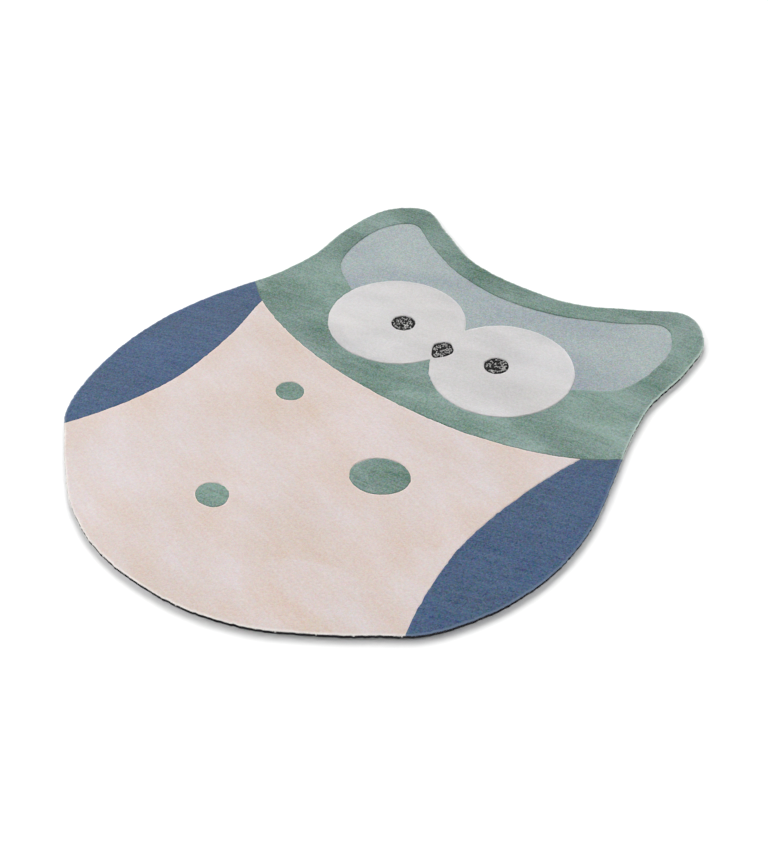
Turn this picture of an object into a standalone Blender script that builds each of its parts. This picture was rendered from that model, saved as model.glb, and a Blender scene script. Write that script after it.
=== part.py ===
"""Hand-tufted children's rug in the outline of an owl, lying flat.

Units are metres. +Y runs from the tail to the ear tufts, +X is the reader's right when the ears are up,
and +Z is up. The origin is under the middle of the rug, on the surface that it lies on.

The drawing is a symmetric owl. It is then tipped and swayed a little, as a maker draws it by hand on the
canvas, and fitted to the rug's length and width.
"""

import math

import bmesh
import bpy
import numpy as np

# Driving dimensions
LENGTH = 1.700
WIDTH = 1.410
THICKNESS = 0.012
BACKING_THICKNESS = 0.005
GAP = 0.0003
RIM_ROUND = 0.003
BACKING_INSET = 0.0025

# The crease where two yarn colours meet
SEAM_DEPTH = 0.0015
SEAM_RADIUS = 0.0022

# The hand-drawn lean: the head tips about the neck, and the body sways between tail and neck
HEAD_TILT = math.radians(2.6)
BODY_SWAY = 0.014
TAIL_Y = -0.850
NECK_Y = 0.100
TILT_STARTS_Y = -0.100
TILT_FULL_Y = 0.600

# Right half of the outline, from the dip of the crown round to the tail. Columns: x, y
OUTLINE_HALF = (
    (0.000, 0.672),
    (0.180, 0.694),
    (0.325, 0.772),
    (0.455, 0.838),
    (0.548, 0.762),
    (0.576, 0.600),
    (0.570, 0.440),
    (0.592, 0.305),
    (0.642, 0.150),
    (0.690, -0.020),
    (0.705, -0.200),
    (0.672, -0.390),
    (0.600, -0.545),
    (0.515, -0.625),
    (0.430, -0.694),
    (0.310, -0.776),
    (0.165, -0.832),
    (0.000, TAIL_Y),
)
# The right wing's inner edge starts here, on the line of the chin
SHOULDER = (0.540, 0.150)
# Where the head ends and the body starts, right half, out past the rim. Columns: x, y
CHIN_HALF = ((0.000, 0.030), (0.300, 0.060), SHOULDER, (0.700, 0.285))
# Inner edge of the right wing, down past the rim. Columns: x, y
WING = (SHOULDER, (0.500, -0.040), (0.486, -0.260), (0.520, -0.450), (0.605, -0.680))
# Brow patch, right half, from its middle round the ear to where it meets the face disc. Columns: x, y
BROW_HALF = (
    (0.000, 0.590),
    (0.170, 0.618),
    (0.320, 0.688),
    (0.432, 0.750),
    (0.490, 0.688),
    (0.506, 0.565),
    (0.474, 0.440),
    (0.370, 0.359),
)
# Right half of the beak, from its top down to its tip. Columns: x, y
BEAK_HALF = ((0.000, 0.326), (0.030, 0.300), (0.020, 0.268), (0.000, 0.248))
# The face is two overlapping discs, each with an eye
FACE_RADIUS = 0.196
FACE_X = 0.178
FACE_Y = 0.318
EYE_RADIUS = 0.034
EYE_X = 0.158
EYE_Y = 0.322
# Spots on the belly. Columns: x, y, half length, half width, turn in degrees
SPOTS = (
    (0.185, -0.215, 0.078, 0.066, 25.0),
    (-0.210, -0.110, 0.040, 0.036, 0.0),
    (-0.085, -0.530, 0.046, 0.040, -20.0),
)

# How finely curves are divided: points for each span of a curve, disc, eye and spot, and the steps that
# round off the rim and the seam cutters
SPAN_STEPS = 6
FACE_STEPS = 40
EYE_STEPS = 20
SPOT_STEPS = 24
ROUND_STEPS = 1
WELD_DISTANCE = 0.00001

# Each material. Columns: name, sRGB colour, roughness
PILE_COLOUR = ("blush_wool_pile", (219, 206, 201), 0.95)
BACKING_COLOUR = ("black_backing_cloth", (30, 28, 32), 0.90)


def smooth(knots, closed=False):
    """Points of a centripetal Catmull-Rom curve through the knots."""
    knots = np.array(knots, float)
    if closed:
        knots = np.vstack([knots[-1:], knots, knots[:2]])
    else:
        knots = np.vstack([2 * knots[0] - knots[1], knots, 2 * knots[-1] - knots[-2]])
    u = np.linspace(0, 1, SPAN_STEPS, endpoint=False)[:, None]
    spans = []
    for a, b, c, d in zip(knots, knots[1:], knots[2:], knots[3:]):
        before, here, after = (math.sqrt(np.linalg.norm(q - p)) for p, q in ((a, b), (b, c), (c, d)))
        leave = c - b + here * ((b - a) / before - (c - a) / (before + here))
        arrive = c - b + here * ((d - c) / after - (d - b) / (here + after))
        spans.append(
            (2 * u**3 - 3 * u**2 + 1) * b
            + (u**3 - 2 * u**2 + u) * leave
            + (3 * u**2 - 2 * u**3) * c
            + (u**3 - u**2) * arrive
        )
    return np.vstack(spans if closed else [*spans, knots[-2:-1]])


def both_sides(half):
    """Knots of the right half, which ends on the axis, and of its mirror image, as one loop."""
    return [*half, *((-x, y) for x, y in half[-2:0:-1])]


def side_to_side(half):
    """Knots from the left end of a line that crosses the axis to its right end."""
    return [*((-x, y) for x, y in half[:0:-1]), *half]


def arc(centre, radii, start, end, steps, turn=0.0):
    """Points of an elliptical arc. Angles are in radians, and the end point is left out."""
    angle = np.linspace(start, end, steps, endpoint=False)
    along, across = radii[0] * np.cos(angle), radii[1] * np.sin(angle)
    x = centre[0] + along * math.cos(turn) - across * math.sin(turn)
    y = centre[1] + along * math.sin(turn) + across * math.cos(turn)
    return np.column_stack([x, y])


def face_outline():
    """The outer edge of the two overlapping face discs."""
    meet = math.acos(-FACE_X / FACE_RADIUS)
    radii = (FACE_RADIUS, FACE_RADIUS)
    right = arc((FACE_X, FACE_Y), radii, -meet, meet, FACE_STEPS)
    left = arc((-FACE_X, FACE_Y), radii, math.pi - meet, math.pi + meet, FACE_STEPS)
    return np.vstack([right, left])


def leaning(points):
    """The drawing's symmetric points with the hand-drawn tilt and sway."""
    x, y = np.array(points, float).T
    up = np.clip((y - TILT_STARTS_Y) / (TILT_FULL_Y - TILT_STARTS_Y), 0, 1)
    tilt = HEAD_TILT * up**2 * (3 - 2 * up)
    body = np.clip((y - TAIL_Y) / (NECK_Y - TAIL_Y), 0, 1)
    sway = BODY_SWAY * np.sin(math.pi * body)
    return np.column_stack([x - tilt * (y - NECK_Y) + sway, y + tilt * x])


def on_rug(points):
    """Points of the drawing, placed on the rug: centred, and fitted to its length and width."""
    edge = leaning(smooth(both_sides(OUTLINE_HALF), closed=True))
    low, high = edge.min(axis=0), edge.max(axis=0)
    return (leaning(points) - (low + high) / 2) * np.array([WIDTH, LENGTH]) / (high - low)


def material(name, srgb, roughness):
    made = bpy.data.materials.new(name)
    made.use_nodes = True
    shader = made.node_tree.nodes["Principled BSDF"]
    linear = [((c / 255 + 0.055) / 1.055) ** 2.4 for c in srgb]
    shader.inputs["Base Color"].default_value = (*linear, 1)
    shader.inputs["Roughness"].default_value = roughness
    return made


def curve_of(name, points, closed, z, dimensions):
    """A curve object through the points, level at height z."""
    curve = bpy.data.curves.new(name, "CURVE")
    curve.dimensions = dimensions
    spline = curve.splines.new("POLY")
    spline.points.add(len(points) - 1)
    for point, (x, y) in zip(spline.points, points):
        point.co = (x, y, 0, 1)
    spline.use_cyclic_u = closed
    made = bpy.data.objects.new(name, curve)
    made.location.z = z
    return made


def as_mesh(curve_object, collection):
    """The curve as a mesh object of the same name, its caps welded to its sides."""
    collection.objects.link(curve_object)
    bpy.context.view_layer.update()
    evaluated = curve_object.evaluated_get(bpy.context.evaluated_depsgraph_get())
    mesh = bpy.data.meshes.new_from_object(evaluated)
    name, place, curve = curve_object.name, curve_object.matrix_world.copy(), curve_object.data
    bpy.data.objects.remove(curve_object)
    bpy.data.curves.remove(curve)
    shape = bmesh.new()
    shape.from_mesh(mesh)
    bmesh.ops.remove_doubles(shape, verts=shape.verts, dist=WELD_DISTANCE)
    bmesh.ops.recalc_face_normals(shape, faces=shape.faces)
    shape.to_mesh(mesh)
    shape.free()
    mesh.name = name
    made = bpy.data.objects.new(name, mesh)
    made.matrix_world = place
    collection.objects.link(made)
    return made


def flat_piece(name, low, high, inset, round_off, finish, collection):
    """The rug's outline as a flat solid from height low to high, with its rim rounded by round_off."""
    edge = on_rug(smooth(both_sides(OUTLINE_HALF), closed=True))
    flat = curve_of(name, edge, True, (low + high) / 2, "2D")
    flat.data.fill_mode = "BOTH"
    flat.data.extrude = (high - low) / 2 - round_off
    flat.data.bevel_depth = round_off
    flat.data.bevel_resolution = ROUND_STEPS
    flat.data.offset = -inset - round_off
    piece = as_mesh(flat, collection)
    piece.data.materials.clear()
    piece.data.materials.append(material(*finish))
    return piece


def seam_cutter(name, points, closed, collection):
    """A round bar along a colour border, which cuts the crease into the pile."""
    bar = curve_of(name, on_rug(points), closed, THICKNESS - SEAM_DEPTH + SEAM_RADIUS, "3D")
    bar.data.bevel_depth = SEAM_RADIUS
    bar.data.bevel_resolution = ROUND_STEPS
    bar.data.use_fill_caps = not closed
    cutter = as_mesh(bar, collection)
    cutter.hide_render = True
    cutter.display_type = "WIRE"
    return cutter


def seam_cutters(collection):
    """One cutter for each border between two yarn colours."""
    left_wing = [(-x, y) for x, y in WING]
    seam_cutter("chin_seam", smooth(side_to_side(CHIN_HALF)), False, collection)
    seam_cutter("right_wing_seam", smooth(WING), False, collection)
    seam_cutter("left_wing_seam", smooth(left_wing), False, collection)
    seam_cutter("brow_seam", smooth(side_to_side(BROW_HALF)), False, collection)
    seam_cutter("face_seam", face_outline(), True, collection)
    seam_cutter("beak_seam", smooth(both_sides(BEAK_HALF), closed=True), True, collection)
    for side, x in (("left", -EYE_X), ("right", EYE_X)):
        circle = arc((x, EYE_Y), (EYE_RADIUS, EYE_RADIUS), 0, math.tau, EYE_STEPS)
        seam_cutter(f"{side}_eye_seam", circle, True, collection)
    for number, (x, y, length, width, turn) in enumerate(SPOTS, 1):
        spot = arc((x, y), (length, width), 0, math.tau, SPOT_STEPS, math.radians(turn))
        seam_cutter(f"spot_{number}_seam", spot, True, collection)


def tufted_pile(collection, cutters):
    """The tufted face: one sheared slab, creased along its colour borders."""
    pile = flat_piece(
        "tufted_pile", BACKING_THICKNESS + GAP, THICKNESS, 0, RIM_ROUND, PILE_COLOUR, collection
    )
    crease = pile.modifiers.new("creases", "BOOLEAN")
    crease.operation = "DIFFERENCE"
    crease.operand_type = "COLLECTION"
    crease.collection = cutters
    crease.solver = "EXACT"
    return pile


def backing_cloth(collection):
    """The cloth glued under the tufted face, cut back a little from the pile's rim."""
    return flat_piece(
        "backing_cloth", 0, BACKING_THICKNESS, BACKING_INSET, 0, BACKING_COLOUR, collection
    )


def new_collection(name):
    made = bpy.data.collections.new(name)
    bpy.context.scene.collection.children.link(made)
    return made


def main():
    for old in list(bpy.data.objects):
        bpy.data.objects.remove(old)
    rug = new_collection("owl_rug")
    cutters = new_collection("seam_cutters")
    backing_cloth(rug)
    seam_cutters(cutters)
    tufted_pile(rug, cutters)


main()
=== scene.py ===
"""The owl rug, dressed: sheared wool pile in soft colour fields, a low loop-pile brow, flecked loops for eyes
and beak, a ragged rim over a dark backing cloth, on a pale studio floor.

Units are metres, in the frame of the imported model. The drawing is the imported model's own, so every border lies
where the solid's crease is. Each colour field is a closed body of its own, tufted up to its borders.
"""

import math

import bpy
import numpy as np
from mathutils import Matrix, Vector
from mathutils.geometry import delaunay_2d_cdt
from mathutils.kdtree import KDTree


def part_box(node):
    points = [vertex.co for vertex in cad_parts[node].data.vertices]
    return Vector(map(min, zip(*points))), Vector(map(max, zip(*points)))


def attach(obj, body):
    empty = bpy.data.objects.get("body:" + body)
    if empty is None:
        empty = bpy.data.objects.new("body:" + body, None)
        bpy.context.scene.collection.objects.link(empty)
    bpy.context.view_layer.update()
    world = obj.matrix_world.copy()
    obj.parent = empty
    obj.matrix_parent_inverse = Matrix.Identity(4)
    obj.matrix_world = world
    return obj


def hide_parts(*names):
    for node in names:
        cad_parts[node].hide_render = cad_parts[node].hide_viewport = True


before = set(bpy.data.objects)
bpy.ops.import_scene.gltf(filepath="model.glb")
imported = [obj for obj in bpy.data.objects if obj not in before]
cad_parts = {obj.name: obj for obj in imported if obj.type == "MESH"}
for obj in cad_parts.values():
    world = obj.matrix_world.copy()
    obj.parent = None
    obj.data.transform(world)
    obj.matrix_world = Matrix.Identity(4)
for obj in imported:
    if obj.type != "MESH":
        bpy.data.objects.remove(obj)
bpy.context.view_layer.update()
SEED = 11
MM = 0.001

# The rug's size, from the frame
PILE_LOW, PILE_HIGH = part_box("tufted_pile")
CLOTH_LOW, CLOTH_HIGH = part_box("backing_cloth")
WIDTH = PILE_HIGH.x - PILE_LOW.x
LENGTH = PILE_HIGH.y - PILE_LOW.y

# --- The drawing -----------------------------------------------------------------------------------------

# The hand-drawn lean: the head tips about the neck, and the body sways between tail and neck
HEAD_TILT = math.radians(2.6)
BODY_SWAY = 0.014
TAIL_Y = -0.850
NECK_Y = 0.100
TILT_STARTS_Y = -0.100
TILT_FULL_Y = 0.600

# Right half of the outline, from the dip of the crown round to the tail. Columns: x, y
OUTLINE_HALF = (
    (0.000, 0.672),
    (0.180, 0.694),
    (0.325, 0.772),
    (0.455, 0.838),
    (0.548, 0.762),
    (0.576, 0.600),
    (0.570, 0.440),
    (0.592, 0.305),
    (0.642, 0.150),
    (0.690, -0.020),
    (0.705, -0.200),
    (0.672, -0.390),
    (0.600, -0.545),
    (0.515, -0.625),
    (0.430, -0.694),
    (0.310, -0.776),
    (0.165, -0.832),
    (0.000, TAIL_Y),
)
# The right wing's inner edge starts here, on the line of the chin
SHOULDER = (0.540, 0.150)
# Where the head ends and the body starts, right half, out past the rim. Columns: x, y
CHIN_HALF = ((0.000, 0.030), (0.300, 0.060), SHOULDER, (0.700, 0.285))
# Inner edge of the right wing, down past the rim. Columns: x, y
WING = (SHOULDER, (0.500, -0.040), (0.486, -0.260), (0.520, -0.450), (0.605, -0.680))
# Brow patch, right half, from its middle round the ear to where it meets the face disc. Columns: x, y
BROW_HALF = (
    (0.000, 0.590),
    (0.170, 0.618),
    (0.320, 0.688),
    (0.432, 0.750),
    (0.490, 0.688),
    (0.506, 0.565),
    (0.474, 0.440),
    (0.370, 0.359),
)
# Right half of the beak, from its top down to its tip. Columns: x, y
BEAK_HALF = ((0.000, 0.326), (0.030, 0.300), (0.020, 0.268), (0.000, 0.248))
# The face is two overlapping discs, each with an eye
FACE_RADIUS = 0.196
FACE_X = 0.178
FACE_Y = 0.318
EYE_RADIUS = 0.034
EYE_X = 0.158
EYE_Y = 0.322
# Spots on the belly. Columns: x, y, half length, half width, turn in degrees
SPOTS = (
    (0.185, -0.215, 0.078, 0.066, 25.0),
    (-0.210, -0.110, 0.040, 0.036, 0.0),
    (-0.085, -0.530, 0.046, 0.040, -20.0),
)
# An open line stands for a whole region once it is closed through these corners. Columns: x, y
CLOSE_HEAD = ((0.90, 0.40), (0.90, 1.10), (-0.90, 1.10), (-0.90, 0.40))
CLOSE_WING = ((1.00, -0.70), (1.00, 0.50), (0.54, 0.50))
CLOSE_BROW = ((FACE_X, 0.25), (-FACE_X, 0.25))
# How far a line runs on under the field that covers its end
TUCK = 0.012
SPAN_STEPS = 40
ROUND_STEPS = 240

# The fields in the order that they cover each other. Columns: name, slot, border line, how far its pile stands
# above the sheared height
FIELDS = (
    ("belly", "pile_blush", "outline", 0.0),
    ("right_wing", "pile_blue", "right_wing", 0.0),
    ("left_wing", "pile_blue", "left_wing", 0.0),
    ("spot_1", "pile_sage", "spot_1", 0.2 * MM),
    ("spot_2", "pile_sage", "spot_2", 0.2 * MM),
    ("spot_3", "pile_sage", "spot_3", 0.2 * MM),
    ("head", "pile_sage", "chin", 0.0),
    ("brow", "pile_grey_blue", "brow", -1.1 * MM),
    ("face", "pile_off_white", "face", 0.4 * MM),
    ("beak", "pile_black_fleck", "beak", -2.2 * MM),
    ("left_eye", "pile_black_fleck", "left_eye", -2.2 * MM),
    ("right_eye", "pile_black_fleck", "right_eye", -2.2 * MM),
)
FIELD_NAMES = [row[0] for row in FIELDS]
SLOT_OF = {name: slot for name, slot, _, _ in FIELDS}
LOOPED_FIELDS = ("beak", "left_eye", "right_eye")
RIM_FIELDS = ("belly", "right_wing", "left_wing", "head")

# --- Pile, rim and cloth ---------------------------------------------------------------------------------

LINE_STEP = 3.0 * MM
SAMPLE_STEPS = 5
TUFT_STEP = 3.3 * MM
LOOP_PILE_STEP = 2.1 * MM
TUFT_JITTER = 0.16
# Rows of points beside a border, by their distance from it
SEAM_ROWS = (1.1 * MM, 2.4 * MM)
RIM_ROWS = (0.4 * MM, 1.2 * MM, 2.8 * MM)
SEAM_DEPTH = 0.9 * MM
SEAM_REACH = 2.2 * MM
RIM_ROUND = 1.6 * MM
FIELD_GAP = 0.10 * MM
# The uneven course of a hand-held tufting gun. Columns: height of the wobble, its wavelength
SEAM_WOBBLE = ((0.5 * MM, 10 * MM), (0.4 * MM, 34 * MM))
RIM_WOBBLE = ((0.5 * MM, 8 * MM), (0.6 * MM, 60 * MM))
FEWEST_KNOTS = 4
# Relief of the sheared surface. Columns: height, wavelength
SHEARED_RELIEF = ((0.30 * MM, 150 * MM), (0.05 * MM, 36 * MM))
TUFT_NOISE = 0.10 * MM
LOOP_PITCH = 4.2 * MM
LOOP_BUMP = 0.7 * MM
# A ripple is the sum of waves. Each one's length is a random share of the ripple's wavelength: the shortest, and
# up to the range more
WAVES = 9
SHORTEST_WAVE = 0.7
WAVE_RANGE = 0.9

# Locks of cut yarn that stand out of the rim
LOCK_STEP = 1.9 * MM
LIP_STEP = 2.6 * MM
LOCK_SIDES = 4
LOCK_RADII = np.array([0.85, 0.95, 0.75, 0.25]) * MM

# Flecked loops of the eyes and beak
LOOP_STEP = 5.0 * MM
LOOP_SIDES = 5
LOOP_RINGS = 8
YARN_RADIUS = 1.45 * MM
LOOP_RISE = 3.0 * MM
LOOP_WIDTH = 5.2 * MM
LOOP_MARGIN = 1.4 * MM
LOOP_BOW = 0.8 * MM
LOOP_FOOT = 8.2 * MM
LOOP_WIDTHS = (0.85, 1.15)
LOOP_RISES = (0.88, 1.06)
PALE_SHARE = 0.42
DARK_MARGIN = 4.5 * MM
# How pale a loop is, from 0 to 1
PALE_FLECK = (0.5, 1.0)
DARK_FLECK = (0, 0.06)

# Backing cloth, its relief, and how far its underside is lifted off the floor, in reliefs
CLOTH_STEP = 8 * MM
CLOTH_RELIEF = 0.12 * MM
CLOTH_LIFT = 1.2
CLOTH_WAVELENGTH = 120 * MM
CLOTH_RAGGED = 0.15 * MM

ROW_CLEARANCE = 0.35 * MM
SHALLOWEST_CREASE = 0.3 * MM
ON_LINE = 0.05 * MM
MERGED_WITHIN = 1e-7
SHORTEST_VECTOR = 1e-6
SHARP_ANGLE = math.radians(60)
# The wall under a field's edge, on the rim, and the backing cloth's edge, turned up under it. Columns: how far
# out of the rim, height
RIM_PROFILE = (
    (0.4 * MM, 9.5 * MM),
    (0.1 * MM, 8.5 * MM),
    (-1.3 * MM, 8.0 * MM),
    (-1.5 * MM, PILE_LOW.z),
)
CLOTH_PROFILE = (
    (-1.2 * MM, CLOTH_HIGH.z),
    (-1.0 * MM, 7.4 * MM),
    (-0.1 * MM, 7.6 * MM),
    (0.3 * MM, 4.8 * MM),
    (0.4 * MM, 1.8 * MM),
    (0.3 * MM, CLOTH_LOW.z),
)
# How far the rim's paler colour, a painted highlight, and the painted shade and highlight along a border reach into
# a field
RIM_HIGHLIGHT_FADE = 3.4 * MM
SEAM_SHADING_FADE = 3.0 * MM

# Each lock's rings, from its root. Columns: how far out of the rim, height
HANGING_LOCK = ((-1.3 * MM, 10.8 * MM), (0.2 * MM, 10.2 * MM), (0.5 * MM, 9.3 * MM), (0.4 * MM, 8.3 * MM))
LIP_LOCK = ((-2.4 * MM, 9.4 * MM), (-0.9 * MM, 10.8 * MM), (0.0, 11.2 * MM), (0.6 * MM, 10.9 * MM))
LOCK_VARIES = 0.7
# Stray locks, which reach out further and hang down
STRAY_SHARE = 0.022
STRAY_REACH = 1.8
STRAY_FALL = 3.6 * MM
LOCK_SPREAD = 0.6 * MM
LOCK_FALL = 0.45 * MM
# How much of the rim's paler colour, a painted highlight, each ring of a lock has
LOCK_HIGHLIGHT = (0.2, 0.7, 1.0, 1.0)

# --- Finishes --------------------------------------------------------------------------------------------

# How much brighter than its own colour the pile comes out under the studio light, and how much its sheen adds
LIGHT_LEVEL = 1.365
SHEEN_LEVEL = 0.028
# Pile, as lit, in sRGB levels. Columns: slot, the way that it is brushed in degrees, colour, the paler colour where
# it stands at the rim, a painted highlight, share of its colour left along a border, painted shade below 1 and a
# painted highlight above 1, and how far it goes up and down: from tuft to tuft, each channel alone in a tuft, in
# brush marks, painted as the sheen and shade of the pile's lay, in slow clouds, and from cool to warm
PILE_FINISHES = (
    ("pile_blush", -17, (220, 206, 201), (255, 251, 247), 1.40,
     (1.6, 5.2, 7.8), 5.9, (0.8, 2.2, 4.2), (2.4, 5.4, 9.6), (1.5, 0.1, -0.9)),
    ("pile_sage", 9, (127, 150, 142), (205, 222, 214), 0.90,
     (14.0, 11.0, 16.0), 9.8, (8.0, 7.2, 7.6), (16.5, 15.0, 16.5), (0.8, -1.2, 0.6)),
    ("pile_blue", 20, (80, 100, 129), (128, 146, 172), 0.92,
     (10.5, 8.7, 11.5), 12.0, (5.6, 5.7, 5.7), (0.6, 1.4, 3.0), (1.5, 0.6, -1.4)),
    ("pile_grey_blue", 5, (169, 180, 182), (212, 221, 221), 1.00,
     (11.0, 7.5, 10.5), 11.5, (0.4, 0.3, 0.4), (2.4, 2.2, 1.6), (9.0, 9.0, 5.6)),
    ("pile_off_white", 15, (210, 208, 208), (242, 241, 240), 1.14,
     (4.6, 4.4, 5.5), 3.8, (1.4, 1.5, 1.9), (8.8, 8.8, 8.4), (0.8, 0.2, -1.2)),
)
# The least that is left of a colour once the sheen's share is taken off
DARKEST = 0.002
BLACK_YARN = (38, 39, 42)
PALE_YARN = (236, 235, 233)
BACKING_COLOUR = (22, 21, 24)
TUFT_SIZE = 3.2 * MM
TUFT_HEIGHT = 0.5 * MM
TUFT_REACH = 0.6
# Noises, drawn out along the way that the pile is brushed. Columns: width, length in widths, detail, distortion
SHEEN_STREAKS = (7 * MM, 13.0, 2.5, 0.5)
MOTTLE = (30 * MM, 1.0, 3.0, 0.0)
CLOUDS = (120 * MM, 2.2, 1.5, 0.3)
PATCHES = (240 * MM, 1.4, 1.0, 0.3)
SEAM_SHADING_NOISE = (7 * MM, 1.0, 2.0, 0.0)
FIBRES = (0.8 * MM, 1.0, 3.0, 0.0)
LINT = (14 * MM, 1.0, 4.0, 0.0)
NOISE_ROUGHNESS = 0.55
# The middle of a noise's range, which is stretched out
NOISE_MIDDLE = (0.30, 0.70)
MOTTLE_SHARE = 0.15
# Patches stroked one way, painted lighter and darker as the sheen and shade of the pile's lay. Columns: width,
# length in widths, how far their edges bend
SHEEN_STROKES = (130 * MM, 1.8, 110 * MM)
STROKE_EDGE_DETAIL = 3.0
STROKE_SMOOTHNESS = 0.2
STROKE_SHARE = 0.55
# How far each noise shades a colour
SEAM_SHADES = (0.5, 1.3)
FIBRE_SHADES = (0.75, 1.25)
LINT_SHADES = (0.8, 1.35)
WEAVE_SHADES = (0.85, 1.15)
FIBRE_HEIGHT = 0.15 * MM
PILE_ROUGHNESS = 0.95
PILE_SHEEN = 0.08
SHEEN_ROUGHNESS = 0.5
YARN_SPECULAR = 0.15
PILE_BUMP = 0.35
CLOTH_ROUGHNESS = 0.90
CLOTH_SHEEN = 0.0
CLOTH_BUMP = 0.5
THREAD_PITCH = 1.6 * MM
THREAD_HEIGHT = 0.25 * MM
THREAD_UNEVEN = 0.6
# The numbers of a Mix node's sockets for colours
COLOUR_A, COLOUR_B, COLOUR_MIXED = 6, 7, 2

# --- Light, floor and camera -----------------------------------------------------------------------------

FLOOR_COLOUR = (0.89, 0.89, 0.89)
FLOOR_SIZE = 130.0
BACKDROP_HEIGHT = 2.5
# Suns. Columns: name, elevation, heading, softness, strength
LAMPS = (
    ("back_key", math.radians(22), math.radians(131), math.radians(30), 4.8),
    ("left_key", math.radians(18), math.radians(194), math.radians(48), 3.1),
    ("right_key", math.radians(18), math.radians(68), math.radians(48), 2.5),
    ("front_fill", math.radians(3.5), math.radians(-48), math.radians(30), 5.2),
)
DOME_STRENGTH = 0.03
SIDE_SIZE = 1.2
SIDE_PLACE = Vector((-1.55, -1.04, 1.3))
SIDE_POWER = 6
CAMERA_AZIMUTH = math.radians(40)
CAMERA_ELEVATION = math.radians(40)
CAMERA_LENS = 65
CAMERA_DISTANCE = 3.94
CAMERA_AIM = Vector((0.063, -0.0565, 0.006))


# --- Lines of the drawing --------------------------------------------------------------------------------


def smooth(knots, closed=False):
    """Points of a centripetal Catmull-Rom curve through the knots."""
    knots = np.array(knots, float)
    if closed:
        knots = np.vstack([knots[-1:], knots, knots[:2]])
    else:
        knots = np.vstack([2 * knots[0] - knots[1], knots, 2 * knots[-1] - knots[-2]])
    u = np.linspace(0, 1, SPAN_STEPS, endpoint=False)[:, None]
    spans = []
    for a, b, c, d in zip(knots, knots[1:], knots[2:], knots[3:]):
        before, here, after = (math.sqrt(np.linalg.norm(q - p)) for p, q in ((a, b), (b, c), (c, d)))
        leave = c - b + here * ((b - a) / before - (c - a) / (before + here))
        arrive = c - b + here * ((d - c) / after - (d - b) / (here + after))
        spans.append(
            (2 * u**3 - 3 * u**2 + 1) * b
            + (u**3 - 2 * u**2 + u) * leave
            + (3 * u**2 - 2 * u**3) * c
            + (u**3 - u**2) * arrive
        )
    return np.vstack(spans if closed else [*spans, knots[-2:-1]])


def both_sides(half):
    """Knots of the right half, which ends on the axis, and of its mirror image, as one loop."""
    return [*half, *((-x, y) for x, y in half[-2:0:-1])]


def side_to_side(half):
    """Knots from the left end of a line that crosses the axis to its right end."""
    return [*((-x, y) for x, y in half[:0:-1]), *half]


def arc(centre, radii, start, end, turn=0.0):
    """Points of an elliptical arc. Angles are in radians, and the end point is left out."""
    angle = np.linspace(start, end, ROUND_STEPS, endpoint=False)
    along, across = radii[0] * np.cos(angle), radii[1] * np.sin(angle)
    x = centre[0] + along * math.cos(turn) - across * math.sin(turn)
    y = centre[1] + along * math.sin(turn) + across * math.cos(turn)
    return np.column_stack([x, y])


def face_outline():
    """The outer edge of the two overlapping face discs."""
    meet = math.acos(-FACE_X / FACE_RADIUS)
    radii = (FACE_RADIUS, FACE_RADIUS)
    right = arc((FACE_X, FACE_Y), radii, -meet, meet)
    left = arc((-FACE_X, FACE_Y), radii, math.pi - meet, math.pi + meet)
    return np.vstack([right, left])


def leaning(points):
    """The drawing's symmetric points with the hand-drawn tilt and sway."""
    x, y = np.array(points, float).T
    up = np.clip((y - TILT_STARTS_Y) / (TILT_FULL_Y - TILT_STARTS_Y), 0, 1)
    tilt = HEAD_TILT * up**2 * (3 - 2 * up)
    body = np.clip((y - TAIL_Y) / (NECK_Y - TAIL_Y), 0, 1)
    sway = BODY_SWAY * np.sin(math.pi * body)
    return np.column_stack([x - tilt * (y - NECK_Y) + sway, y + tilt * x])


def on_rug(points):
    """Points of the drawing, placed on the rug: centred, and fitted to its length and width."""
    edge = leaning(smooth(both_sides(OUTLINE_HALF), closed=True))
    low, high = edge.min(axis=0), edge.max(axis=0)
    return (leaning(points) - (low + high) / 2) * np.array([WIDTH, LENGTH]) / (high - low)


def mirrored(points):
    return [(-x, y) for x, y in points]


def even(points, spacing, closed):
    """The line again, with its points at even steps."""
    if closed:
        points = np.vstack([points, points[:1]])
    along = np.concatenate([[0], np.cumsum(np.linalg.norm(np.diff(points, axis=0), axis=1))])
    at = np.linspace(0, along[-1], round(along[-1] / spacing) + 1)
    if closed:
        at = at[:-1]
    return np.column_stack([np.interp(at, along, column) for column in points.T])


def normals(points, closed):
    """Unit vectors across the line, to the right of its course."""
    if closed:
        course = np.roll(points, -1, axis=0) - np.roll(points, 1, axis=0)
    else:
        course = np.gradient(points, axis=0)
    course /= np.linalg.norm(course, axis=1, keepdims=True)
    return np.column_stack([course[:, 1], -course[:, 0]])


def wobbly(points, closed, wobbles, rng):
    """The line, pushed to and fro by smooth random steps of each height and wavelength."""
    push = np.zeros(len(points))
    for height, wavelength in wobbles:
        knots = rng.normal(0, height, max(FEWEST_KNOTS, round(len(points) * LINE_STEP / wavelength)) + 1)
        if closed:
            knots[-1] = knots[0]
        at = np.linspace(0, len(knots) - 1, len(points), endpoint=not closed)
        part = at % 1
        push += np.interp(np.floor(at) + part**2 * (3 - 2 * part), np.arange(len(knots)), knots)
    return points + normals(points, closed) * push[:, None]


def tucked(line, toward):
    """The line, run on at its start to end under the field that covers it."""
    course = np.subtract(toward, line[0])
    return np.vstack([line[0] + course / np.linalg.norm(course) * TUCK, line])


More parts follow.
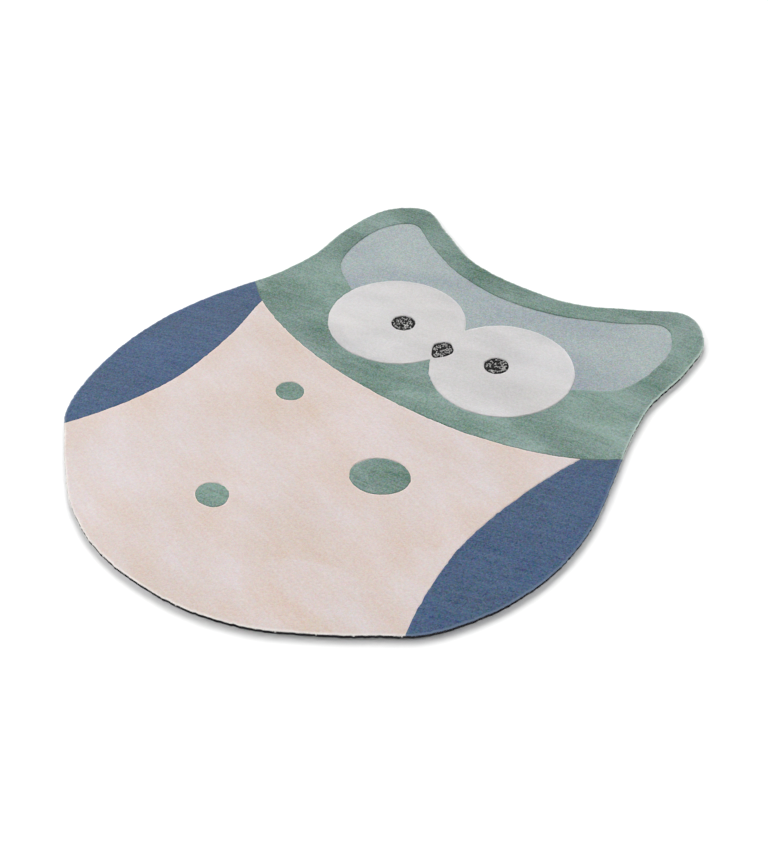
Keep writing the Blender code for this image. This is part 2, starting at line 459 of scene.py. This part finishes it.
def drawn_lines():
    """Every border line before it is placed on the rug. name: (points, closed, corners that close its region)."""
    right = smooth(WING)
    left = smooth(mirrored(WING))
    brow = tucked(smooth(side_to_side(BROW_HALF)), CLOSE_BROW[1])
    brow = tucked(brow[::-1], CLOSE_BROW[0])[::-1]
    lines = {
        "outline": (smooth(both_sides(OUTLINE_HALF), closed=True), True, ()),
        "right_wing": (tucked(right, CLOSE_WING[-1]), False, CLOSE_WING),
        "left_wing": (tucked(left, mirrored(CLOSE_WING)[-1]), False, mirrored(CLOSE_WING)),
        "chin": (smooth(side_to_side(CHIN_HALF)), False, CLOSE_HEAD),
        "brow": (brow, False, CLOSE_BROW),
        "face": (face_outline(), True, ()),
        "beak": (smooth(both_sides(BEAK_HALF), closed=True), True, ()),
    }
    for side, x in (("left", -EYE_X), ("right", EYE_X)):
        lines[f"{side}_eye"] = (arc((x, EYE_Y), (EYE_RADIUS, EYE_RADIUS), 0, math.tau), True, ())
    for number, (x, y, length, width, turn) in enumerate(SPOTS, 1):
        spot = arc((x, y), (length, width), 0, math.tau, math.radians(turn))
        lines[f"spot_{number}"] = (spot, True, ())
    return lines


def placed_lines(rng):
    """Every border line on the rug, evenly stepped and wobbly, and the closed loop of each one's region."""
    lines, regions = {}, {}
    for name, (points, closed, corners) in drawn_lines().items():
        wobbles = RIM_WOBBLE if name == "outline" else SEAM_WOBBLE
        line = wobbly(even(on_rug(points), LINE_STEP, closed), closed, wobbles, rng)
        lines[name] = (line, closed)
        regions[name] = np.vstack([line, on_rug(corners)]) if corners else line
    return lines, regions


def inside(points, starts, ends):
    """Which points lie inside the closed edges: those with an odd number of them to their right."""
    order = np.argsort(points[:, 1])
    height = points[order, 1]
    found = np.zeros(len(points), bool)
    for (ax, ay), (bx, by) in zip(starts, ends):
        first, last = np.searchsorted(height, sorted((ay, by)))
        if first < last:
            near = order[first:last]
            found[near] ^= points[near, 0] < ax + (points[near, 1] - ay) * (bx - ax) / (by - ay)
    return found


def inside_loop(points, loop):
    return inside(points, loop, np.roll(loop, -1, axis=0))


def field_of(points, regions):
    """The number of the field that each point lies in, or -1 off the rug."""
    owner = np.full(len(points), -1)
    for number, (_, _, line, _) in enumerate(FIELDS):
        owner[inside_loop(points, regions[line])] = number
    owner[~inside_loop(points, regions["outline"])] = -1
    return owner


# --- The net of points that the fields share -------------------------------------------------------------


def tree_of(points):
    tree = KDTree(len(points))
    for number, (x, y) in enumerate(points):
        tree.insert((x, y, 0), number)
    tree.balance()
    return tree


def distances(points, tree):
    return np.array([tree.find((x, y, 0))[2] for x, y in points])


def fine_samples(line, closed):
    """The line with points between its points."""
    following = np.roll(line, -1, axis=0)
    if not closed:
        line, following = line[:-1], following[:-1]
    part = np.arange(SAMPLE_STEPS)[:, None, None] / SAMPLE_STEPS
    return (line + (following - line) * part).transpose(1, 0, 2).reshape(-1, 2)


def parts_fields(line, closed, regions):
    """Which points of the line have a different field on each side."""
    across = normals(line, closed) * FIELD_GAP * 2
    return field_of(line + across, regions) != field_of(line - across, regions)


def hex_grid(spacing, low, high, rng):
    """Points of a jittered grid of even triangles over the box."""
    row = spacing * math.sqrt(3) / 2
    x, y = np.meshgrid(np.arange(low[0], high[0], spacing), np.arange(low[1], high[1], row))
    x[1::2] += spacing / 2
    points = np.column_stack([x.ravel(), y.ravel()])
    return points + rng.uniform(-TUFT_JITTER, TUFT_JITTER, points.shape) * spacing


def apart(points, spacing):
    """The points that stay when, of any two closer than the spacing, the later one goes."""
    tree = tree_of(points)
    kept = np.ones(len(points), bool)
    for number, (x, y) in enumerate(points):
        if kept[number]:
            for _, other, _ in tree.find_range((x, y, 0), spacing):
                kept[other] &= other <= number
    return points[kept]


def triangulated(points, edges):
    """Delaunay triangles that keep every edge: their corners, each one's number among the points, or -1 where
    two edges cross, and the triangles, all turning left."""
    flat = [Vector(point) for point in points]
    corners, _, faces, origin, _, _ = delaunay_2d_cdt(flat, edges, [], 0, MERGED_WITHIN, True)
    corners, faces = np.array(corners), np.array(faces)
    a, b, c = (corners[faces[:, k]] for k in range(3))
    turn = (b[:, 0] - a[:, 0]) * (c[:, 1] - a[:, 1]) - (b[:, 1] - a[:, 1]) * (c[:, 0] - a[:, 0])
    faces[turn < 0] = faces[turn < 0, ::-1]
    return corners, np.array([found[0] if found else -1 for found in origin]), faces


def filled(points, edges):
    """Triangles over the points, inside the closed edges."""
    _, origin, faces = triangulated(points, edges.tolist())
    faces = origin[faces]
    middle = points[faces].mean(axis=1)
    return faces[inside(middle, points[edges[:, 0]], points[edges[:, 1]])]


def ripple(points, wavelength, rng):
    """Smooth random relief of about that wavelength, mostly between -1 and 1."""
    total = np.zeros(len(points))
    for heading, size, phase in rng.random((WAVES, 3)):
        length = wavelength * (SHORTEST_WAVE + WAVE_RANGE * size)
        heading *= math.tau
        along = points @ np.array([math.cos(heading), math.sin(heading)])
        total += np.sin(along * math.tau / length + phase * math.tau)
    return total / math.sqrt(WAVES)


class Net:
    """Points and triangles of the whole tufted face, which the fields are cut from."""

    def __init__(self, lines, regions, rng):
        border, edges, samples, rows = [], [], [], []
        for name, (line, closed) in lines.items():
            numbers = np.arange(len(line)) + sum(map(len, border))
            pairs = np.column_stack([numbers, np.roll(numbers, -1)])
            edges += (pairs if closed else pairs[:-1]).tolist()
            border.append(line)
            across = normals(line, closed)
            if name == "outline":
                rows += [line + across * row for row in RIM_ROWS]
            else:
                fine = fine_samples(line, closed)
                samples.append(fine[parts_fields(fine, closed, regions)])
                rows += [line + across * side * row for row in SEAM_ROWS for side in (-1, 1)]
        self.seams = tree_of(np.vstack(samples))
        self.rim = tree_of(fine_samples(lines["outline"][0], True))
        border, rows = np.vstack(border), self.clear_rows(rows, regions)
        near = np.vstack([border, rows])
        grid = self.tuft_points(regions, rng)
        self.points, origin, triangles = triangulated(np.vstack([near, grid]), edges)
        owner = field_of(self.points[triangles].mean(axis=1), regions)
        self.triangles, self.owner = triangles[owner >= 0], owner[owner >= 0]
        beside = origin < len(near)
        self.to_seam = np.ones(len(self.points))
        self.to_rim = np.ones(len(self.points))
        self.to_seam[beside] = distances(self.points[beside], self.seams)
        self.to_rim[beside] = distances(self.points[beside], self.rim)
        self.relief = sum(height * ripple(self.points, length, rng) for height, length in SHEARED_RELIEF)
        self.relief += rng.normal(0, TUFT_NOISE, len(self.points))

    def clear_rows(self, rows, regions):
        """The rows beside the borders, without what crowds another border or row, or lies off the rug."""
        rows = np.vstack(rows)
        rows = rows[field_of(rows, regions) >= 0]
        clear = np.minimum(distances(rows, self.seams), distances(rows, self.rim))
        return apart(rows[clear > ROW_CLEARANCE], ROW_CLEARANCE)

    def tuft_points(self, regions, rng):
        """A point for each tuft away from the borders, closer together in the loop pile."""
        found = []
        for spacing, in_brow in ((TUFT_STEP, False), (LOOP_PILE_STEP, True)):
            grid = hex_grid(spacing, (PILE_LOW.x, PILE_LOW.y), (PILE_HIGH.x, PILE_HIGH.y), rng)
            owner = field_of(grid, regions)
            grid = grid[(owner >= 0) & ((owner == FIELD_NAMES.index("brow")) == in_brow)]
            clear = np.minimum(distances(grid, self.seams) - SEAM_ROWS[-1], distances(grid, self.rim) - RIM_ROWS[-1])
            found.append(grid[clear > spacing / 2])
        return np.vstack(found)


# --- Bodies ----------------------------------------------------------------------------------------------


def border_of(triangles):
    """The corners on the triangles' border, and its edges as places in that list, the inside on their left."""
    edges = np.vstack([triangles[:, [0, 1]], triangles[:, [1, 2]], triangles[:, [2, 0]]])
    size = edges.max() + 1
    edges = edges[~np.isin(edges[:, 0] * size + edges[:, 1], edges[:, 1] * size + edges[:, 0])]
    border, places = np.unique(edges, return_inverse=True)
    return border, places.reshape(-1, 2)


def inward(points, edges):
    """Unit vectors from the border's points towards its inside."""
    course = points[edges[:, 1]] - points[edges[:, 0]]
    course /= np.linalg.norm(course, axis=1, keepdims=True)
    left = np.column_stack([-course[:, 1], course[:, 0]])
    total = np.zeros(points.shape)
    np.add.at(total, edges[:, 0], left)
    np.add.at(total, edges[:, 1], left)
    return total / np.maximum(np.linalg.norm(total, axis=1, keepdims=True), SHORTEST_VECTOR)


def closed_body(top, top_triangles, border, edges, rings, inner, bottom_triangles):
    """Corners and faces of a closed body. border and edges are the top's, each of the rings is one step down
    the wall, and the bottom's triangles count from the last ring, with its inner points after it."""
    steps = [border, *(len(top) + np.arange(len(border)) + level * len(border) for level in range(len(rings)))]
    faces = [top_triangles]
    corners = np.vstack([top, *rings, inner])
    walls = []
    for upper, lower in zip(steps, steps[1:]):
        a, b = edges.T
        walls.append(np.column_stack([upper[a], lower[a], lower[b], upper[b]]))
    faces.append(bottom_triangles[:, ::-1] + steps[-1][0])
    return corners, [face for block in (*faces, *walls) for face in block.tolist()]


def piece(name, corners, faces, finish, **attributes):
    """A mesh object, shaded smooth but for its sharp edges, with a value for each point in each attribute."""
    mesh = bpy.data.meshes.new(name)
    mesh.from_pydata(corners.tolist(), [], faces)
    mesh.materials.append(finish)
    for key, values in attributes.items():
        mesh.attributes.new(key, "FLOAT", "POINT").data.foreach_set("value", values.astype(np.float32))
    mesh.shade_smooth()
    mesh.set_sharp_from_angle(angle=SHARP_ANGLE)
    made = bpy.data.objects.new(name, mesh)
    bpy.context.scene.collection.objects.link(made)
    return made


def smoothstep(value):
    value = np.clip(value, 0, 1)
    return value**2 * (3 - 2 * value)


def loop_bumps(points, rng):
    """Low round bumps, one for each loop of the low loop pile, from 0 between them to 1."""
    centres = hex_grid(LOOP_PITCH, points.min(axis=0), points.max(axis=0), rng)
    away = distances(points, tree_of(centres)) / (LOOP_PITCH / 2)
    return np.clip(1 - away**2, 0, 1)


def field_piece(net, number, finish, rng):
    """One colour field: a closed block of pile that reaches to its borders."""
    name, _, _, lift = FIELDS[number]
    used, triangles = np.unique(net.triangles[net.owner == number], return_inverse=True)
    triangles = triangles.reshape(-1, 3)
    flat, to_seam, to_rim = net.points[used], net.to_seam[used], net.to_rim[used]

    crease = max(SEAM_DEPTH + lift, SHALLOWEST_CREASE) * (1 - smoothstep(to_seam / SEAM_REACH))
    rounded = RIM_ROUND - np.sqrt(RIM_ROUND**2 - np.clip(RIM_ROUND - to_rim, 0, RIM_ROUND) ** 2)
    height = PILE_HIGH.z + lift + net.relief[used] - np.maximum(crease, rounded)
    if name == "brow":
        height += LOOP_BUMP * (loop_bumps(flat, rng) - 1) * smoothstep(to_seam / SEAM_REACH)

    border, edges = border_of(triangles)
    bottom = filled(flat[border], edges)
    inwards = inward(flat[border], edges)
    flat[border] += inwards * FIELD_GAP
    on_rim = to_rim[border] < ON_LINE
    # The wall is upright where a seam runs out over the rim, so that a corner's short edges don't cross
    shaped = on_rim * smoothstep(to_seam[border] / SEAM_REACH)
    rings = []
    for out, level in RIM_PROFILE:
        moved = flat[border] - inwards * (out * shaped)[:, None]
        rings.append(np.column_stack([moved, np.full(len(border), level)]))
    corners, faces = closed_body(
        np.column_stack([flat, height]), triangles, border, edges, rings, np.zeros((0, 3)), bottom
    )
    # The rim's paler colour fades in towards the rim and covers the walls on the rim: a painted highlight on the lip
    rim_highlight = np.concatenate([np.clip(1 - to_rim / RIM_HIGHLIGHT_FADE, 0, 1), *[on_rim.astype(float)] * len(rings)])
    # Along a border the colour is scaled, over the walls under a seam too: painted shade in the crease on the darker
    # fields, a painted highlight on the paler ones
    seam_shade_and_highlight = np.concatenate([np.clip(1 - to_seam / SEAM_SHADING_FADE, 0, 1), *[~on_rim] * len(rings)])
    return piece(name, corners, faces, finish, rim=rim_highlight, border=seam_shade_and_highlight)


def backing_piece(outline, finish, rng):
    """The cloth glued under the pile: a flat slab with its edge turned up, a little uneven underneath."""
    count = len(outline)
    outwards = -normals(outline, True)
    rings = []
    for out, level in CLOTH_PROFILE:
        ragged = out + rng.normal(0, CLOTH_RAGGED, count)[:, None]
        rings.append(np.column_stack([outline + outwards * ragged, np.full(count, level)]))
    top, *rings = rings
    edge = top[:, :2]
    edges = np.column_stack([np.roll(np.arange(count), -1), np.arange(count)])
    grid = hex_grid(CLOTH_STEP, edge.min(axis=0), edge.max(axis=0), rng)
    grid = grid[inside_loop(grid, edge)]
    grid = grid[distances(grid, tree_of(fine_samples(edge, True))) > CLOTH_STEP / 2]
    under = CLOTH_LOW.z + CLOTH_RELIEF * (CLOTH_LIFT + np.clip(ripple(grid, CLOTH_WAVELENGTH, rng), -1, 1))
    inner = np.column_stack([grid, under])
    corners, faces = closed_body(
        top, filled(edge, edges), np.arange(count), edges, rings, inner,
        filled(np.vstack([rings[-1][:, :2], grid]), edges),
    )
    return piece("backing", corners, faces, finish)


def tubes(paths, across, radii, sides):
    """Corners and faces of closed tubes, joined. paths is tubes x rings x 3, across is a vector for each tube
    that is square to its path, and radii has one for each ring."""
    along = np.gradient(paths, axis=1)
    along /= np.linalg.norm(along, axis=2, keepdims=True)
    across = across[:, None] - np.sum(across[:, None] * along, axis=2, keepdims=True) * along
    across /= np.linalg.norm(across, axis=2, keepdims=True)
    up = np.cross(along, across)
    angle = np.linspace(0, math.tau, sides, endpoint=False)[:, None]
    ring = np.cos(angle) * across[:, :, None] + np.sin(angle) * up[:, :, None]
    corners = paths[:, :, None] + radii[:, None, None] * ring
    place = np.arange(corners.size // 3).reshape(corners.shape[:3])
    here, there = place[:, :-1], place[:, 1:]
    walls = np.stack([here, np.roll(here, -1, 2), np.roll(there, -1, 2), there], axis=-1).reshape(-1, 4)
    caps = np.vstack([place[:, 0, ::-1], place[:, -1]])
    return corners.reshape(-1, 3), [*walls.tolist(), *caps.tolist()]


def rim_locks(outline, step, profile, rng):
    """Paths of the locks of cut yarn along the rim. profile is how far out each ring stands, and its height."""
    foot = even(outline, step, True)
    outwards = -normals(foot, True)
    course = np.column_stack([outwards[:, 1], -outwards[:, 0]])
    count = len(foot)
    out, height = np.array(profile).T
    stray = rng.random(count) < STRAY_SHARE
    stray |= np.roll(stray, 1)
    toward_tip = np.linspace(0, 1, len(out))
    reach = (1 + np.abs(rng.normal(0, LOCK_VARIES, count))) * np.where(stray, STRAY_REACH, 1)
    spread = rng.normal(0, LOCK_SPREAD, count)[:, None] * toward_tip
    fall = (rng.normal(0, LOCK_FALL, count) - STRAY_FALL * stray)[:, None] * toward_tip
    outs = np.where(out > 0, out * reach[:, None], out)
    flat = foot[:, None] + outwards[:, None] * outs[..., None] + course[:, None] * spread[..., None]
    paths = np.concatenate([flat, (height + fall)[..., None]], axis=2)
    return paths, np.column_stack([course, np.zeros(count)])


def rim_pieces(outline, regions, finishes, rng):
    """The ragged rim of each field that reaches it, by the field's name."""
    made = {}
    hanging = rim_locks(outline, LOCK_STEP, HANGING_LOCK, rng)
    lip = rim_locks(outline, LIP_STEP, LIP_LOCK, rng)
    paths = np.vstack([hanging[0], lip[0]])
    across = np.vstack([hanging[1], lip[1]])
    owner = field_of(paths[:, 0, :2], regions)
    for name in RIM_FIELDS:
        own = owner == FIELD_NAMES.index(name)
        corners, faces = tubes(paths[own], across[own], LOCK_RADII, LOCK_SIDES)
        # Each lock takes more of the rim's paler colour towards its tip: a painted highlight
        rim = np.tile(np.repeat(LOCK_HIGHLIGHT, LOCK_SIDES), own.sum())
        made[name] = piece(f"{name}_rim", corners, faces, finishes[SLOT_OF[name]], rim=rim)
    return made


def loop_piece(name, region, finish, rng):
    """Loops of black and pale yarn, standing close together over one region."""
    centres = hex_grid(LOOP_STEP, region.min(axis=0), region.max(axis=0), rng)
    centres = centres[inside_loop(centres, region)]
    clear = distances(centres, tree_of(fine_samples(region, True)))
    centres, clear = centres[clear > LOOP_MARGIN], clear[clear > LOOP_MARGIN]
    count = len(centres)
    heading = rng.uniform(0, math.tau, count)
    course = np.column_stack([np.cos(heading), np.sin(heading)])
    side = np.column_stack([-course[:, 1], course[:, 0]])
    angle = np.linspace(0, math.pi, LOOP_RINGS)
    size = rng.uniform(*LOOP_WIDTHS, (count, 1))
    bow = rng.uniform(-1, 1, (count, 1)) * LOOP_BOW
    run = -np.cos(angle) * LOOP_WIDTH / 2 * size
    flat = centres[:, None] + course[:, None] * run[..., None] + side[:, None] * (np.sin(angle) * bow)[..., None]
    height = LOOP_FOOT + np.sin(angle) * LOOP_RISE * rng.uniform(*LOOP_RISES, (count, 1))
    paths = np.concatenate([flat, height[..., None]], axis=2)
    across = np.column_stack([side, np.zeros(count)])
    corners, faces = tubes(paths, across, np.full(LOOP_RINGS, YARN_RADIUS), LOOP_SIDES)
    is_pale = (rng.random(count) < PALE_SHARE) & (clear > DARK_MARGIN)
    pale = np.where(is_pale, rng.uniform(*PALE_FLECK, count), rng.uniform(*DARK_FLECK, count))
    return piece(f"{name}_loops", corners, faces, finish, fleck=np.repeat(pale, LOOP_RINGS * LOOP_SIDES))


# --- Materials -------------------------------------------------------------------------------------------


def linear(srgb):
    """The linear colour of sRGB levels, by the sRGB standard's own numbers."""
    return [((c / 255 + 0.055) / 1.055) ** 2.4 for c in srgb]


def matt(srgb):
    """The linear colour of pile that comes out as that sRGB colour under the studio light."""
    return np.maximum(np.array(linear(srgb)) - SHEEN_LEVEL, DARKEST) / LIGHT_LEVEL


def step(srgb, change):
    """The linear change that shows as that many sRGB levels more on the colour."""
    return (matt(np.add(srgb, change)) - matt(np.subtract(srgb, change))) / 2


class Finish:
    """A material under construction: adds nodes, and joins them through their inputs."""

    def __init__(self, name, roughness, sheen, heading=0.0):
        self.material = bpy.data.materials.new(name)
        self.material.use_nodes = True
        self.tree = self.material.node_tree
        self.shader = self.tree.nodes["Principled BSDF"]
        self.shader.inputs["Roughness"].default_value = roughness
        self.shader.inputs["Sheen Weight"].default_value = sheen
        self.shader.inputs["Sheen Roughness"].default_value = SHEEN_ROUGHNESS
        self.shader.inputs["Specular IOR Level"].default_value = YARN_SPECULAR
        self.place = self.add("ShaderNodeTexCoord").outputs["Object"]
        self.heading = heading

    def add(self, kind, inputs=(), **settings):
        node = self.tree.nodes.new(kind)
        for key, value in settings.items():
            setattr(node, key, value)
        for key, value in dict(inputs).items():
            self.join(value, node.inputs[key])
        return node

    def join(self, value, socket):
        if isinstance(value, bpy.types.NodeSocket):
            self.tree.links.new(value, socket)
        else:
            socket.default_value = value

    def brushed(self, stretch):
        """Places that draw a texture out along the way that the pile is brushed."""
        turn = {"Vector": self.place, "Rotation": (0, 0, self.heading), "Scale": (stretch, 1, 1)}
        return self.add("ShaderNodeMapping", turn, vector_type="TEXTURE").outputs[0]

    def noise(self, width, stretch, detail, distortion):
        """Noise from 0 to 1 with features of about that width."""
        settings = {"Scale": 1 / width, "Detail": detail, "Roughness": NOISE_ROUGHNESS, "Distortion": distortion}
        return self.add("ShaderNodeTexNoise", {"Vector": self.brushed(stretch), **settings}).outputs["Fac"]

    def strokes(self, width, stretch, bend):
        """A number from 0 to 1 for each patch of pile that was stroked one way, with soft uneven edges."""
        place = self.brushed(stretch)
        edges = {"Vector": place, "Scale": 2 / width, "Detail": STROKE_EDGE_DETAIL}
        noise = self.add("ShaderNodeTexNoise", edges)
        bent = self.pushed(place, (bend, bend, bend), noise.outputs["Color"])
        cells = {"Vector": bent, "Scale": 1 / width, "Smoothness": STROKE_SMOOTHNESS}
        patch = self.add("ShaderNodeTexVoronoi", cells, voronoi_dimensions="2D", feature="SMOOTH_F1")
        return self.add("ShaderNodeSeparateColor", {"Color": patch.outputs["Color"]}).outputs[0]

    def spread(self, value, low, high):
        """The noise's middle stretched out to run from low to high."""
        return self.ranged(value, *NOISE_MIDDLE, low, high)

    def ranged(self, value, start, end, low, high):
        """The value, taken from the range start to end to the range low to high."""
        limits = {"Value": value, "From Min": start, "From Max": end, "To Min": low, "To Max": high}
        return self.add("ShaderNodeMapRange", limits).outputs[0]

    def tufts(self):
        """Round tuft ends over the pile: their height, and for each a random number and colour, from 0 to 1."""
        cells = self.add(
            "ShaderNodeTexVoronoi", {"Vector": self.place, "Scale": 1 / TUFT_SIZE}, voronoi_dimensions="2D"
        ).outputs
        first = self.add("ShaderNodeSeparateColor", {"Color": cells["Color"]}).outputs[0]
        number = self.add("ShaderNodeTexWhiteNoise", {"W": first}, noise_dimensions="1D").outputs["Value"]
        return self.ranged(cells["Distance"], 0, TUFT_REACH, 1, 0), number, cells["Color"]

    def math(self, operation, first, *others):
        for other in others:
            first = self.add("ShaderNodeMath", {0: first, 1: other}, operation=operation).outputs[0]
        return first

    def times(self, *values):
        return self.math("MULTIPLY", *values)

    def pushed(self, colour, push, amount):
        """The colour, and the push on top of it, each channel times the amount's own."""
        inputs = {0: amount, 1: tuple(push), 2: colour}
        return self.add("ShaderNodeVectorMath", inputs, operation="MULTIPLY_ADD").outputs[0]

    def scaled(self, colour, factor):
        return self.add("ShaderNodeVectorMath", {0: colour, "Scale": factor}, operation="SCALE").outputs[0]

    def mixed(self, factor, a, b):
        inputs = {"Factor": factor, COLOUR_A: a, COLOUR_B: b}
        return self.add("ShaderNodeMix", inputs, data_type="RGBA").outputs[COLOUR_MIXED]

    def attribute(self, name):
        return self.add("ShaderNodeAttribute", attribute_name=name).outputs["Fac"]

    def bump(self, height, strength, distance):
        bumped = self.add("ShaderNodeBump", {"Height": height, "Strength": strength, "Distance": distance})
        self.join(bumped.outputs[0], self.shader.inputs["Normal"])

    def colour(self, value):
        self.join(value, self.shader.inputs["Base Color"])


def pile_finish(slot, heading, srgb, rim, border, tuft, channel, brush_sheen, cloud, tint):
    """Wool pile: tufts that differ a little, brush marks where the pile lies over painted as its sheen and shade,
    slow clouds, a painted highlight at the rim, and painted shade and highlight along the borders.
    """
    finish = Finish(slot, PILE_ROUGHNESS, PILE_SHEEN, math.radians(heading))
    tufts, own_shade, own_colour = finish.tufts()
    mottle = np.multiply(brush_sheen, MOTTLE_SHARE)
    own = step(srgb, channel)
    colour = finish.pushed(tuple(matt(srgb) - own), own * 2, own_colour)
    colour = finish.pushed(colour, step(srgb, tuft), finish.ranged(own_shade, 0, 1, -1, 1))
    # The brush marks and their mottle are painted sheen and shade of the pile's lay; the clouds and patches are the
    # wool's own tone
    for change, marks in ((brush_sheen, SHEEN_STREAKS), (mottle, MOTTLE), (cloud, CLOUDS), (tint, PATCHES)):
        colour = finish.pushed(colour, step(srgb, change), finish.spread(finish.noise(*marks), -1, 1))
    # Patches stroked one way, painted lighter and darker as the pile's sheen and shade
    stroke_sheen = step(srgb, np.multiply(cloud, STROKE_SHARE))
    colour = finish.pushed(colour, stroke_sheen, finish.ranged(finish.strokes(*SHEEN_STROKES), 0, 1, -1, 1))
    # Along the borders the colour is scaled unevenly by the field's share: painted shade in the crease on the sage
    # and blue, a painted highlight on the blush and off-white
    seam = finish.times(finish.attribute("border"), finish.spread(finish.noise(*SEAM_SHADING_NOISE), *SEAM_SHADES))
    colour = finish.scaled(colour, finish.ranged(seam, 0, 1, 1, border))
    # Towards the rim the colour is mixed to the paler rim colour: a painted highlight on the lip
    finish.colour(finish.mixed(finish.attribute("rim"), colour, (*matt(rim), 1)))
    finish.bump(tufts, PILE_BUMP, TUFT_HEIGHT)
    return finish.material


def loop_finish(slot, dark, pale):
    """Black and pale loop yarn, its fleck given for each loop, with fine fibres."""
    finish = Finish(slot, PILE_ROUGHNESS, PILE_SHEEN)
    dark, pale = matt(dark), matt(pale)
    shade = finish.mixed(finish.attribute("fleck"), (*dark, 1), (*pale, 1))
    fibres = finish.noise(*FIBRES)
    finish.colour(finish.scaled(shade, finish.spread(fibres, *FIBRE_SHADES)))
    finish.bump(fibres, PILE_BUMP, FIBRE_HEIGHT)
    return finish.material


def cloth_finish(slot, srgb):
    """Near-black plain-woven cotton: threads over and under, with a little dust and lint."""
    finish = Finish(slot, CLOTH_ROUGHNESS, CLOTH_SHEEN)
    threads = {"Vector": finish.place, "Scale": 1 / (THREAD_PITCH * math.pi), "Distortion": THREAD_UNEVEN}
    waves = [finish.add("ShaderNodeTexWave", threads, bands_direction=axis).outputs["Fac"] for axis in "XY"]
    weave = finish.times(*waves)
    lint = finish.spread(finish.noise(*LINT), *LINT_SHADES)
    factor = finish.times(finish.spread(weave, *WEAVE_SHADES), lint)
    finish.colour(finish.scaled(tuple(linear(srgb)), factor))
    finish.bump(weave, CLOTH_BUMP, THREAD_HEIGHT)
    return finish.material


# --- The scene -------------------------------------------------------------------------------------------


def add_floor():
    """A wide pale floor, with a low backdrop round it that casts no shadow."""
    finish = bpy.data.materials.new("white_floor")
    finish.use_nodes = True
    shader = finish.node_tree.nodes["Principled BSDF"]
    shader.inputs["Base Color"].default_value = (*FLOOR_COLOUR, 1)
    shader.inputs["Roughness"].default_value = 1.0
    shader.inputs["Specular IOR Level"].default_value = 0.0
    half = FLOOR_SIZE / 2
    low = [(-half, -half, 0), (half, -half, 0), (half, half, 0), (-half, half, 0)]
    high = [(x, y, BACKDROP_HEIGHT) for x, y, _ in low]
    count = len(low)
    walls = [(k, k + count, (k + 1) % count + count, (k + 1) % count) for k in range(count)]
    for name, corners, faces in (("floor", low, [(0, 1, 2, 3)]), ("backdrop", low + high, walls)):
        mesh = bpy.data.meshes.new(name)
        mesh.from_pydata(corners, [], faces)
        mesh.materials.append(finish)
        made = bpy.data.objects.new(name, mesh)
        made.visible_shadow = name == "floor"
        bpy.context.scene.collection.objects.link(made)


def aimed(lamp, source):
    """Turns the lamp's light away from the source's direction and adds it to the scene."""
    lamp.rotation_mode = "QUATERNION"
    lamp.rotation_quaternion = source.to_track_quat("Z", "Y")
    bpy.context.scene.collection.objects.link(lamp)


def add_light():
    """A faint dome, soft keys from behind and both sides, a low fill from the front, a soft box on the left."""
    world = bpy.data.worlds.new("studio")
    world.use_nodes = True
    dome = world.node_tree.nodes["Background"]
    dome.inputs["Color"].default_value = (1, 1, 1, 1)
    dome.inputs["Strength"].default_value = DOME_STRENGTH
    bpy.context.scene.world = world
    for name, elevation, heading, softness, strength in LAMPS:
        sun = bpy.data.lights.new(name, "SUN")
        sun.energy = strength
        sun.angle = softness
        level = math.cos(elevation)
        source = Vector((level * math.cos(heading), level * math.sin(heading), math.sin(elevation)))
        aimed(bpy.data.objects.new(name, sun), source)
    box = bpy.data.lights.new("soft_box", "AREA")
    box.shape = "SQUARE"
    box.size = SIDE_SIZE
    box.energy = SIDE_POWER
    lamp = bpy.data.objects.new("soft_box", box)
    lamp.location = SIDE_PLACE
    aimed(lamp, SIDE_PLACE)


def add_camera():
    camera = bpy.data.objects.new("camera", bpy.data.cameras.new("camera"))
    camera.data.lens = CAMERA_LENS
    level = math.cos(CAMERA_ELEVATION)
    back = Vector(
        (math.sin(CAMERA_AZIMUTH) * level, -math.cos(CAMERA_AZIMUTH) * level, math.sin(CAMERA_ELEVATION))
    )
    camera.location = CAMERA_AIM + back * CAMERA_DISTANCE
    camera.rotation_mode = "QUATERNION"
    camera.rotation_quaternion = back.to_track_quat("Z", "Y")
    camera.data.clip_end = FLOOR_SIZE * 2
    bpy.context.scene.collection.objects.link(camera)
    bpy.context.scene.camera = camera
    bpy.context.scene.view_settings.view_transform = "Standard"


def tag(made, node):
    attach(made, "root")
    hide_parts(node)


def main():
    rng = np.random.default_rng(SEED)
    finishes = {slot: pile_finish(slot, *row) for slot, *row in PILE_FINISHES}
    finishes["pile_black_fleck"] = loop_finish("pile_black_fleck", BLACK_YARN, PALE_YARN)
    finishes["backing_black"] = cloth_finish("backing_black", BACKING_COLOUR)

    lines, regions = placed_lines(rng)
    net = Net(lines, regions, rng)
    outline = lines["outline"][0]

    backing = backing_piece(outline, finishes["backing_black"], rng)
    tag(backing, "backing_cloth")
    fields = {}
    for number, (name, slot, _, _) in enumerate(FIELDS):
        fields[name] = field_piece(net, number, finishes[slot], rng)
        tag(fields[name], "tufted_pile")
    trims = {name: [] for name in fields}
    for name, made in rim_pieces(outline, regions, finishes, rng).items():
        tag(made, "tufted_pile")
        trims[name].append(made)
    for name in LOOPED_FIELDS:
        loops = loop_piece(name, regions[name], finishes["pile_black_fleck"], rng)
        tag(loops, "tufted_pile")
        trims[name].append(loops)

    add_floor()
    add_light()
    add_camera()


main()
